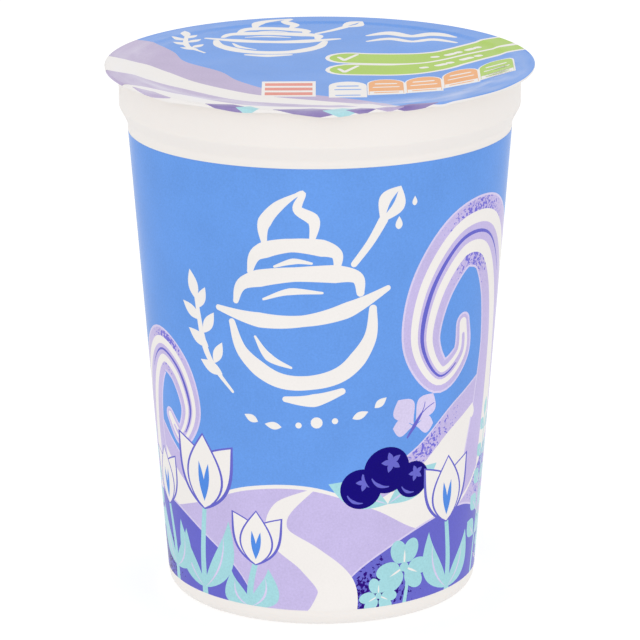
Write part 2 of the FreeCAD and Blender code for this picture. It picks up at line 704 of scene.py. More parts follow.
Form = Callable[[float, float], tuple[Vector, Vector]]  # place and normal of a point of a sheet
INK_MATERIALS: dict[Ink, bpy.types.Material] = {}  # main makes each ink's material once


def added(name: str, data: bpy.types.ID) -> bpy.types.Object:
    """A new object in the scene that holds a mesh, a camera or a lamp."""
    made = bpy.data.objects.new(name, data)
    bpy.context.collection.objects.link(made)
    return made


def formed_skin(
    name: str, sheet: Sheet, fill: Iterable[Point], form: Form, thickness: float, back: bpy.types.Material
) -> bpy.types.Object:
    """Makes a closed thin skin from a printed sheet.

    Args:
        name: The piece's name.
        sheet: The print.
        fill: Further points of the sheet.
        form: Gives the place and the outward normal, in millimetres, of a point of the sheet.
        thickness: The skin's thickness in millimetres, inward from the print.
        back: Material of its inner side and its cut edge.

    Returns:
        The piece.
    """
    points, triangles, layers = sheet.cut(fill)
    shaped = [form(x, y) for x, y in points]
    count = len(points)
    places = [p * MM for p, _ in shaped] + [(p - n * thickness) * MM for p, n in shaped]
    sides = dict.fromkeys(edge for a, b, c in triangles for edge in ((a, b), (b, c), (c, a)))
    rim = [(a, b) for a, b in sides if (b, a) not in sides]
    faces = list(triangles)
    faces += [(c + count, b + count, a + count) for a, b, c in triangles]
    faces += [(b, a, a + count, b + count) for a, b in rim]
    mesh = bpy.data.meshes.new(name)
    mesh.from_pydata([tuple(p) for p in places], [], faces)
    inks = list(Ink)
    for ink in inks:
        mesh.materials.append(INK_MATERIALS[ink])
    mesh.materials.append(back)
    slots = [inks.index(layer.ink) for layer in layers]
    slots += [len(inks)] * (len(faces) - len(triangles))
    mesh.polygons.foreach_set("material_index", slots)
    mesh.polygons.foreach_set("use_smooth", [True] * len(faces))
    normals: list[Vector] = []
    for face in triangles:
        normals.extend(shaped[i][1] for i in face)
    for a, b, c in triangles:
        normals.extend(-shaped[i][1] for i in (c, b, a))
    for a, b in rim:
        along = shaped[b][0] - shaped[a][0]
        normals.extend([along.cross(shaped[a][1]).normalized()] * 4)
    density = mesh.attributes.new("stipple", "FLOAT", "CORNER")
    values = [0.0] * len(mesh.loops)
    for number, (face, layer) in enumerate(zip(triangles, layers)):
        if layer.stipple:
            for k, i in enumerate(face):
                values[number * 3 + k] = layer.stipple.at(*points[i])
    density.data.foreach_set("value", values)
    # Painted sheen: how far each point's print is pulled towards white, in place of reflected light.
    sheen_layer = mesh.attributes.new("painted_sheen", "FLOAT", "POINT")
    sheen_layer.data.foreach_set("value", [sheet.painted_sheen(*p) for p in points] * 2)
    mesh.normals_split_custom_set([tuple(n) for n in normals])
    return added(name, mesh)


# --------------------------------------------------------------------------------------------------- motifs


def tulip(stem: float, lean: float, cup: float = 1.0) -> Motif:
    """A tulip with two long leaves.

    Args:
        stem: Height of its cup's base.
        lean: How far the cup stands to the right of the foot.
        cup: Factor on the cup's size.

    Returns:
        The patches.
    """
    path = smooth([(0.0, -4.0), (lean * 0.1, stem * 0.4), (lean, stem)], closed=False)
    made = [Patch(Ink.MINT, ribbon(path, 1.9, 1.3))]
    for tilt, length, bow in ((30.0, stem * 0.82, -2.2), (-26.0, stem * 0.98, 2.4)):
        made.append(Patch(Ink.MINT, turned(petal(length, 5.6, 0.42, bow), tilt)))
        made.append(Patch(Ink.HAZE, turned(petal(length * 0.8, 0.5, 0.5, bow * 0.8), tilt)))
    head: Motif = []
    for tilt, bow in ((27.0, 1.2), (-27.0, -1.2)):
        head.append(Patch(Ink.VIOLET, turned(petal(15.2, 8.4, 0.46, bow), tilt)))
        head.append(Patch(Ink.WHITE, moved(turned(petal(14.2, 7.4, 0.46, bow), tilt), 0.0, 0.4)))
    head.append(Patch(Ink.VIOLET, petal(14.8, 9.2, 0.42)))
    head.append(Patch(Ink.WHITE, moved(petal(14.0, 8.2, 0.42), 0.0, 0.3)))
    for tilt in (-9.0, 9.0):
        head.append(Patch(Ink.HEART, moved(turned(petal(7.6, 1.3, 0.5), tilt), 0.0, 1.6)))
    made += placed(head, lean, stem - 0.8, turn=-lean * 1.6, size=cup)
    return made


def berry(radius: float) -> Motif:
    """A round berry with a crown of small sepals and a light on its side.

    Args:
        radius: Of the berry.

    Returns:
        The patches.
    """
    made = [Patch(Ink.NAVY, ellipse(0, 0, radius, radius))]
    glint = arc(radius * 0.72, 200, 70, 10)
    made.append(Patch(Ink.VIOLET, ribbon(glint, radius * 0.05, radius * 0.16, radius * 0.05)))
    for k in range(5):
        sepal = turned(petal(radius * 0.46, radius * 0.24, 0.45), 72 * k + 12)
        made.append(Patch(Ink.VIOLET, moved(sepal, radius * 0.22, radius * 0.3)))
    return made


def berry_spray() -> Motif:
    """Three berries, the middle one the largest, on a low mound of two leaves.

    Returns:
        The patches.
    """
    made: Motif = []
    for tilt in (62.0, -66.0):
        made.append(Patch(Ink.MINT, turned(petal(13.5, 5.6, 0.5), tilt)))
        made.append(Patch(Ink.HAZE, turned(petal(10.5, 0.5, 0.5), tilt)))
    for x, y, radius in ((-5.4, 4.4, 4.3), (6.0, 3.9, 3.9), (0.4, 7.4, 5.0)):
        made += placed(berry(radius), x, y)
    return made


def sprig(height: float) -> Motif:
    """An upright stem of some height with five pairs of round leaves.

    Args:
        height: Of the stem.

    Returns:
        The patches.
    """
    pairs = 5
    stem = smooth([(0.0, -3.0), (0.8, height * 0.4), (-0.4, height)], closed=False)
    made = [Patch(Ink.MINT, ribbon(stem, 1.1, 0.8, 0.5))]
    for k in range(pairs):
        share = (k + 0.9) / (pairs + 0.4)
        size = 1.0 - 0.45 * share
        for side in (1, -1):
            leaf = [Patch(Ink.MINT, petal(7.4, 4.9, 0.56)), Patch(Ink.HAZE, petal(5.2, 0.36, 0.5))]
            made += placed(leaf, 0.4 * side, height * share, turn=-side * 52.0, size=size)
    tip = [Patch(Ink.MINT, petal(6.2, 3.6, 0.55))]
    made += placed(tip, -0.4, height - 0.6, size=0.8)
    return made


def clover(stem: float) -> Motif:
    """A three-leaved clover on a stem of some height.

    Args:
        stem: Height of the stem.

    Returns:
        The patches.
    """
    path = smooth([(0.0, -3.0), (0.8, stem * 0.5), (0.0, stem)], closed=False)
    made = [Patch(Ink.MINT, ribbon(path, 0.9, 0.6))]
    for tilt in (0.0, 118.0, -118.0):
        leaf = [
            Patch(Ink.MINT, ellipse(-1.35, 3.3, 1.75, 2.5, 16)),
            Patch(Ink.MINT, ellipse(1.35, 3.3, 1.75, 2.5, -16)),
            Patch(Ink.MINT, petal(4.4, 2.6, 0.55)),
            Patch(Ink.WHITE, petal(3.6, 0.42, 0.5)),
        ]
        made += placed(leaf, 0.0, stem, turn=tilt)
    made.append(Patch(Ink.MINT, ellipse(0.0, stem, 1.0, 1.0, count=12)))
    return made


def butterfly() -> Motif:
    """A butterfly seen from the side, wings half open.

    Returns:
        The patches.
    """
    made = []
    wings = ((48, 9.4, 6.8), (-22, 9.8, 6.8), (104, 6.4, 5.0), (-80, 6.2, 4.8))
    for tilt, length, width in wings:
        made.append(Patch(Ink.HAZE, turned(petal(length, width, 0.64), tilt)))
    path = smooth([(-1.2, -3.4), (0.1, 0.2), (1.3, 3.4)], closed=False)
    made.append(Patch(Ink.VIOLET, ribbon(path, 0.5, 1.2, 0.7)))
    for bend in (1.6, -0.4):
        feeler = smooth([(1.3, 3.4), (1.9 + bend * 0.6, 5.2), (2.2 + bend * 1.6, 6.6)], closed=False)
        made.append(Patch(Ink.VIOLET, ribbon(feeler, 0.3, 0.22)))
    return made


def drop(length: float) -> Motif:
    """A falling drop, its point up."""
    return [Patch(Ink.WHITE, petal(length, length * 0.56, 0.36))]


def bowl_sign(weight: float, with_row: bool) -> Motif:
    """A plain sign for a dairy food in white brush strokes: a bowl with a soft peak, a spoon and a sprig.

    Args:
        weight: Factor on the strokes' widths.
        with_row: Whether a row of leaves and dots runs below it.

    Returns:
        The patches.
    """
    strokes = (  # each a stroke's widths, then its path
        # the bowl, its brim and its foot
        (
            (1.4, 3.4, 3.0, 3.6, 1.6),
            ((-18.5, -1), (-16.5, -9), (-9, -16), (0, -17.8), (9, -16), (16, -9), (18, -1)),
        ),
        ((1.2, 3.2, 2.4, 3.4, 1.2), ((-22, 2.6), (-11, -0.4), (0, -1.4), (11, -0.2), (22.5, 3.4))),
        ((1.2, 2.8, 1.4), ((-7, -21.6), (0, -22.6), (7.4, -21.2))),
        # the peak's three turns
        (
            (1.2, 3.6, 3.0, 3.8, 1.6),
            ((-16.6, 4.6), (-13.6, 9.4), (-3, 11.0), (9, 10.0), (15, 8.0), (15.4, 3.8)),
        ),
        (
            (1.2, 3.4, 2.8, 3.6, 1.4),
            ((-11.6, 12.4), (-9.0, 17.0), (-1, 18.6), (7, 17.2), (10.8, 15.0), (10.6, 11.6)),
        ),
        (
            (1.2, 2.8, 2.2, 0.8, 1.8, 2.6, 1.2),
            ((-6.8, 19.8), (-6.2, 24.6), (-1.8, 29.0), (4.6, 31.8), (2.8, 27.8), (6.4, 24.4), (5.4, 19.6)),
        ),
        # lights on the peak
        ((0.5, 1.5, 0.5), ((-9, 5.0), (-2, 6.6), (6, 5.4))),
        ((0.5, 1.3, 0.5), ((-5, 13.4), (0, 14.4), (4.4, 13.4))),
        # the spoon's handle, the sprig's stem and the light on the bowl
        ((1.3, 1.6, 2.0), ((14.8, 11.6), (19.6, 16.4), (23.6, 21.4))),
        ((0.6, 1.5, 0.9), ((-21, -19.6), (-27.6, -9.6), (-29.0, 4.6))),
        ((0.5, 1.8, 0.5), ((-12.6, -4.8), (-9.8, -10.2), (-4.4, -13.4))),
    )
    leaves = (  # x, y, turn and length
        (-23.4, -15.2, 62, 7.4),
        (-25.6, -12.4, -30, 6.6),
        (-26.8, -8.2, 54, 7.6),
        (-27.8, -4.6, -36, 7.0),
        (-28.6, -1.2, 50, 7.0),
        (-28.8, 1.8, -30, 6.6),
        (-29.0, 4.0, 8, 8.0),
    )
    made = []
    for widths, path in strokes:
        made.append(Patch(Ink.WHITE, ribbon(smooth(path, closed=False), *[weight * w for w in widths])))
    made.append(Patch(Ink.WHITE, moved(turned(petal(11.0, 7.4, 0.58), -38), 22.6, 20.4)))
    made.append(Patch(Ink.SKY, moved(turned(petal(6.2, 0.9, 0.5), -38), 24.6, 23.0)))
    for x, y, turn, long in leaves:
        made.append(Patch(Ink.WHITE, moved(turned(petal(long, long * 0.42, 0.46), turn), x, y)))
    if with_row:
        row = ((-15, -27.4, 60, 4.0), (-9, -29, 76, 4.4), (9, -29, -76, 4.4), (15, -27.4, -60, 4.0))
        for x, y, turn, long in row:
            made.append(Patch(Ink.WHITE, moved(turned(petal(long, 2.0, 0.46), turn), x, y)))
        for x, y, radius in ((0, -28.6, 1.5), (-4.6, -28.8, 0.8), (4.6, -28.8, 0.8)):
            made.append(Patch(Ink.WHITE, ellipse(x, y, radius, radius, count=14)))
    return made


def tick() -> Motif:
    """A tick, the mark of approval."""
    short, long = [(-1.9, 0.8), (-0.7, -2.2)], [(-0.7, -2.2), (2.2, 3.4)]
    return [Patch(Ink.WHITE, ribbon(short, 0.9, 1.1)), Patch(Ink.WHITE, ribbon(long, 1.1, 0.9))]


# ------------------------------------------------------------------------------------------- sub-assemblies


@dataclass
class Wall:
    """The pot's tapered wall, and the flat fan that wraps round it."""

    height: float
    neck_radius: float
    neck_height: float
    draft: float = WALL_DRAFT

    def radius(self, z: float) -> float:
        """Outside radius at a height."""
        return self.neck_radius - (self.neck_height - z) * math.tan(self.draft)

    def flat(self, degrees: float, z: float) -> Point:
        """The fan's point for a direction from the front, positive to +X, and a height.

        Args:
            degrees: The direction.
            z: The height.

        Returns:
            The fan's point.
        """
        slant = self.radius(z) / math.sin(self.draft)
        angle = math.radians(degrees) * math.sin(self.draft)
        return (slant * math.sin(angle), slant * math.cos(angle) - self._apex())

    def _apex(self) -> float:
        """Slant distance from the cone's tip to the resting plane."""
        return self.radius(0) / math.sin(self.draft)

    def round(self, x: float, y: float) -> tuple[float, float]:
        """Direction from the front in radians, and height, of a point of the fan.

        Args:
            x: Of the fan's point.
            y: Of the fan's point.

        Returns:
            The direction and the height.
        """
        slant = math.hypot(x, y + self._apex())
        angle = math.atan2(x, y + self._apex()) / math.sin(self.draft)
        return angle, (slant - self._apex()) * math.cos(self.draft)

    def formed(self, proud: float) -> Form:
        """The fan's form when it lies a little proud of the wall.

        Args:
            proud: How far it stands out, in millimetres.

        Returns:
            The form.
        """

        def form(x: float, y: float) -> tuple[Vector, Vector]:
            """Place and normal of a point of the fan.

            Args:
                x: Of the fan's point.
                y: Of the fan's point.

            Returns:
                The place and the normal.
            """
            angle, z = self.round(x, y)
            out = Vector((math.sin(angle), -math.cos(angle), 0.0))
            normal = out * math.cos(self.draft) - Vector((0, 0, math.sin(self.draft)))
            return out * (self.radius(z) + proud) + Vector((0, 0, z)), normal

        return form


@dataclass
class PotBody:
    """The white pot, closed and filled: flange, skirt, shoulder, wall, heel and stepped underside."""

    wall: Wall
    flange_radius: float
    shoulder_step: float = 1.8  # how far the skirt stands out past the neck
    mouth_depth: float = 1.3  # contents' level below the seal land
    heel_radius: float = 3.8
    foot_width: float = 1.6
    recess: float = 1.8  # underside raised inside the foot ring
    slope_run: float = 1.5  # width of the recess's sloped side
    stacking_ring: float = 9.0  # width of the recess's lower step
    stacking_rise: float = 0.6  # from that step to the middle
    gate_radius: float = 1.6
    gate_height: float = 0.5
    segments: int = 224

    def _corners(self) -> list[tuple[float, float, float]]:
        """The outline from the axis below to the axis above.

        Returns:
            The corners, each as radius, height and rounding.
        """
        wall, top = self.wall, self.wall.height
        foot = wall.radius(0) - self.heel_radius - self.foot_width
        step = foot - self.slope_run - self.stacking_ring
        middle = self.recess + self.stacking_rise
        under = top - FLANGE_THICKNESS
        skirt = wall.neck_radius + self.shoulder_step
        shoulder = under - SKIRT_HEIGHT
        mouth = self.flange_radius - LAND_WIDTH
        return [
            (0, middle - self.gate_height, 0),
            (self.gate_radius, middle - self.gate_height, 0.12),
            (self.gate_radius, middle, 0.12),
            (step - self.stacking_rise, middle, 0.5),
            (step, self.recess, 0.5),
            (foot - self.slope_run, self.recess, 0.5),
            (foot, 0, 0.5),
            (wall.radius(0), 0, self.heel_radius),
            (wall.neck_radius, wall.neck_height, 2.2),
            (skirt, shoulder, 1.4),
            (skirt, under, 0.5),
            (self.flange_radius, under, 0.25),
            (self.flange_radius, top, 0.25),
            (mouth, top, 0.25),
            (mouth, top - self.mouth_depth, 0.2),
            (0, top - self.mouth_depth, 0),
        ]

    def _rounded(self) -> list[tuple[Point, Point]]:
        """Points along the rounded outline, each with its outward normal.

        Returns:
            The points and normals.
        """
        corners = self._corners()
        made: list[tuple[Point, Point]] = [((0.0, corners[0][1]), (0.0, -1.0))]
        for before, (r, z, rounding), after in zip(corners, corners[1:], corners[2:]):
            back, ahead = Vector((before[0] - r, before[1] - z)), Vector((after[0] - r, after[1] - z))
            back, ahead = back.normalized(), ahead.normalized()
            half = back.angle(ahead) / 2
            reach = rounding / math.tan(half)
            centre = Vector((r, z)) + (back + ahead).normalized() * (rounding / math.sin(half))
            first, last = Vector((r, z)) + back * reach - centre, Vector((r, z)) + ahead * reach - centre
            sweep = first.angle_signed(last)
            steps = 3 + int(abs(sweep) * 5 * min(1.0, rounding))
            hollow = 1 if back.x * ahead.y - back.y * ahead.x > 0 else -1
            for k in range(steps + 1):
                spin = -sweep * k / steps
                arm = Vector(turned([tuple(first)], math.degrees(spin))[0])
                made.append((tuple(centre + arm), tuple(arm.normalized() * -hollow)))
        made.append(((0.0, corners[-1][1]), (0.0, 1.0)))
        return made

    def build(self, finish: WhitePlastic) -> bpy.types.Object:
        """Makes the pot.

        Args:
            finish: Its plastic.

        Returns:
            The piece.
        """
        profile = self._rounded()
        places, normals, faces = [], [], []
        for (r, z), (nr, nz) in profile[1:-1]:
            for k in range(self.segments):
                angle = 2 * math.pi * k / self.segments
                c, s = math.cos(angle), math.sin(angle)
                places.append((r * c * MM, r * s * MM, z * MM))
                normals.append((nr * c, nr * s, nz))
        rows = len(profile) - 2
        for row in range(rows - 1):
            for k in range(self.segments):
                a, b = row * self.segments + k, row * self.segments + (k + 1) % self.segments
                faces.append((a, b, b + self.segments, a + self.segments))
        for (r, z), (_, nz) in (profile[0], profile[-1]):
            tip = len(places)
            places.append((0, 0, z * MM))
            normals.append((0, 0, nz))
            base = 0 if nz < 0 else (rows - 1) * self.segments
            for k in range(self.segments):
                a, b = base + k, base + (k + 1) % self.segments
                faces.append((b, a, tip) if nz < 0 else (a, b, tip))
        mesh = bpy.data.meshes.new("pot_body")
        mesh.from_pydata(places, [], faces)
        mesh.polygons.foreach_set("use_smooth", [True] * len(faces))
        mesh.normals_split_custom_set_from_vertices(normals)
        mesh.materials.append(finish.material())
        return added("pot_body", mesh)


@dataclass
class PrintedFilm:
    """The printed film on the wall, with its artwork."""

    wall: Wall
    foot: float
    top: float
    seam_gap: float = 0.8  # bare strip where its two ends almost meet
    skew: float = 0.2  # how much lower its top edge is in front than at the right
    bow: float = 0.3  # how far both edges bow at the sides
    top_reach: float = 0.15  # lifts its whole top edge
    proud: float = 0.03
    thickness: float = 0.022
    spacing: float = 2.0  # of the points inside it

    def _edge(self) -> Outline:
        """The film's cut outline on the fan. Both edges bow a little, and the top one sits askew.

        Returns:
            The outline.
        """
        half = 180.0 - math.degrees(self.seam_gap / self.wall.radius(self.top)) / 2
        stations = 120
        lower, upper = [], []
        for k in range(-stations, stations + 1):
            turn = half * k / stations
            side = math.sin(math.radians(turn))
            rise = self.bow * side * side
            lower.append(self.wall.flat(turn, self.foot + 2 * rise))
            upper.append(self.wall.flat(turn, self.top - self.skew * (1 - side) - rise + self.top_reach))
        upper.reverse()
        return lower + upper

    def _fill(self) -> Outline:
        """Points inside the film, evenly spaced and clear of its edges.

        Returns:
            The points.
        """
        clear = self.spacing / 2
        made = []
        for row in range(int((self.top - self.foot - 2 * clear) / self.spacing)):
            z = self.foot + clear + self.spacing * row
            count = int(2 * math.pi * self.wall.radius(z) / self.spacing)
            for k in range(count):
                made.append(self.wall.flat(-179 + 358 * (k + 0.5 * (row % 2)) / count, z))
        return made

    def _flat(self, points: Iterable[Point]) -> Outline:
        """A smooth line on the fan through (direction, height) points."""
        return smooth([self.wall.flat(*p) for p in points], closed=False)

    def _under(self, *crest: Point) -> Outline:
        """The field below a crest line of (direction, height) points, down past the film's foot."""
        ends = range(int(crest[-1][0]), int(crest[0][0]) - 1, -6)
        return self._flat(crest) + [self.wall.flat(turn, self.foot - 3) for turn in ends]

    def _spot(self, degrees: float, z: float, reach: float, strength: float) -> Stipple:
        """A stippled area at a direction and height."""
        return Stipple(*self.wall.flat(degrees, z), reach, strength)

    def _stamp(
        self,
        sheet: Sheet,
        motif: Motif,
        degrees: float,
        z: float,
        turn: float = 0.0,
        size: float = 1.0,
        flip: bool = False,
    ) -> None:
        """Prints a motif upright at a direction and height.

        Args:
            sheet: The sheet.
            motif: The motif.
            degrees: Direction from the front of the motif's origin.
            z: Its height.
            turn: Degrees that the motif is turned from upright.
            size: Factor on its size.
            flip: Whether it is mirrored.
        """
        x, y = self.wall.flat(degrees, z)
        lean = -math.degrees(math.radians(degrees) * math.sin(self.wall.draft))
        sheet.patches += placed(motif, x, y, turn + lean, size, flip)

    def artwork(self) -> Sheet:
        """Lays out the print.

        Returns:
            The sheet.
        """
        sheet = Sheet(self._edge(), Ink.SKY)
        self._cream(sheet)
        self._fields(sheet)
        self._garden(sheet)
        self._stamp(sheet, bowl_sign(1.25, True), -6, 74, turn=7, size=0.88)
        return sheet

    def _cream(self, sheet: Sheet) -> None:
        """Far waves of cream, which rise to both sides and curl over.

        Args:
            sheet: The sheet that it prints on.
        """
        far = [(-186, 40), (-150, 42), (-120, 50), (-92, 52), (-72, 44), (-50, 34), (-20, 30), (10, 33)]
        far += [(32, 40), (52, 50), (80, 56), (110, 50), (140, 42), (186, 40)]
        sheet.add(Ink.HAZE, self._under(*[(d, z + 0.5) for d, z in far]))
        sheet.add(Ink.LILAC, self._under(*far), self._spot(36, 42, 20, 0.7))
        sheet.add(Ink.WHITE, self._under(*[(d, z - 5.5) for d, z in far]))
        big = [(92, 20), (88, 48), (79, 72), (66, 86), (50, 88)]
        big += [(38, 79), (34, 66), (42, 57), (52, 61), (52, 68)]
        small = [(-88, 16), (-84, 36), (-76, 52), (-65, 60), (-54, 57), (-49, 48), (-55, 41), (-62, 45)]
        behind = [(150, 16), (146, 40), (138, 58), (126, 68), (112, 66), (104, 56), (110, 46), (120, 50)]
        curls = (  # path, size and where each is stippled
            (big, 1.0, (58, 88, 17, 1.1)),
            (small, 0.66, (-60, 62, 10, 1.0)),
            (behind, 0.8, (130, 68, 14, 1.0)),
        )
        for path, size, spot in curls:
            line = self._flat(path)
            wide = [size * w for w in (48, 42, 34, 25, 20, 16, 13, 10, 7, 4)]
            sheet.add(Ink.HAZE, ribbon(line, *[w + 1.0 for w in wide]))
            sheet.add(Ink.LILAC, ribbon(line, *wide), self._spot(*spot))
            sheet.add(Ink.WHITE, ribbon(line, *[w * 0.62 for w in wide]))
            sheet.add(Ink.LILAC, ribbon(line[4:-4], *[w * 0.24 for w in wide]))
            sheet.add(Ink.VIOLET, ribbon(line[20:-12], 0.2, 0.9 * size, 1.2 * size, 0.3))

    def _fields(self, sheet: Sheet) -> None:
        """Near fields: a lilac slope, violet mounds and a stream of milk that winds down between them.

        Args:
            sheet: The sheet that it prints on.
        """
        slope = [(-186, 28), (-150, 34), (-120, 32), (-96, 25), (-74, 22), (-50, 26), (-26, 32), (-4, 33)]
        slope += [(18, 28), (40, 21), (62, 26), (84, 38), (106, 40), (130, 30), (160, 26), (186, 28)]
        sheet.add(Ink.WHITE, self._under(*[(d, z + 0.9) for d, z in slope]))
        sheet.add(Ink.LILAC, self._under(*slope), self._spot(74, 32, 15, 0.9))
        mounds = (  # where each is stippled, then its crest
            (
                (-78, 8, 15, 0.8),
                ((-124, -4), (-108, 14), (-88, 23), (-66, 24), (-46, 19), (-30, 11), (-18, -4)),
            ),
            ((20, 7, 15, 0.95), ((-2, -4), (8, 10), (24, 18), (44, 23), (64, 23), (82, 15), (98, -4))),
            ((130, 8, 14, 1.0), ((108, -4), (126, 13), (146, 20), (166, 17), (186, 12))),
            ((-160, 8, 12, 1.0), ((-186, 12), (-168, 15), (-148, 10), (-136, -4))),
        )
        for spot, crest in mounds:
            sheet.add(Ink.HAZE, self._under(*[(d, z + 0.5) for d, z in crest]))
            sheet.add(Ink.VIOLET, self._under(*crest), self._spot(*spot))
        stream = [(-3, 33.2), (-14, 28), (-15, 22), (-4, 16.5), (5, 10), (4, 3), (-2, -3)]
        sheet.add(Ink.WHITE, ribbon(self._flat(stream), 0.6, 4.0, 5.5, 6.5, 8.0, 10.5, 13.0))

    def _garden(self, sheet: Sheet) -> None:
        """What grows and flies on the fields.

        Args:
            sheet: The sheet that it prints on.
        """
        self._stamp(sheet, berry_spray(), 23.5, 28.8, turn=6, size=1.1)
        tulips = (  # direction, height of the foot, stem, size of the cup, mirrored
            (-48, 6, 20, 1.25, False),
            (-67, 8, 15, 0.95, True),
            (-27, 4, 11, 0.9, False),
            (53, 5, 17, 1.1, True),
            (-150, 5, 20, 1.2, False),
            (104, 5, 20, 1.2, True),
            (150, 5, 20, 1.2, False),
            (-118, 5, 16, 1.0, True),
        )
        for degrees, z, stem, cup, flip in tulips:
            self._stamp(sheet, tulip(stem, 1.8, cup), degrees, z, flip=flip)
        for degrees, z, tall in ((74, 8, 34), (-85, 10, 28), (-166, 5, 26), (132, 5, 24), (-100, 5, 22)):
            self._stamp(sheet, sprig(tall), degrees, z, turn=-degrees / 20)
        clovers = ((31, 5, 7, 1.15), (21, 4, 4, 0.75), (88, 5, 7, 1.0), (-134, 5, 7, 1.1))
        for degrees, z, stem, size in clovers:
            self._stamp(sheet, clover(stem), degrees, z, size=size)
        self._stamp(sheet, butterfly(), 32.5, 46.5, turn=-14, size=0.85)
        for degrees, z, long in ((62, 44, 3.4), (24, 93, 3.0), (29, 98, 2.2)):
            self._stamp(sheet, drop(long), degrees, z)

    def build(self) -> bpy.types.Object:
        """Makes the film.

        Returns:
            The piece.
        """
        back = INK_MATERIALS[Ink.WHITE]
        form = self.wall.formed(self.proud)
        return formed_skin("printed_wrap", self.artwork(), self._fill(), form, self.thickness, back)


@dataclass(frozen=True)
class Lobe:
    """A stretch of the foil's hanging edge that is pressed down. Degrees run from +X."""

    direction: float
    half_width: float
    depth: float


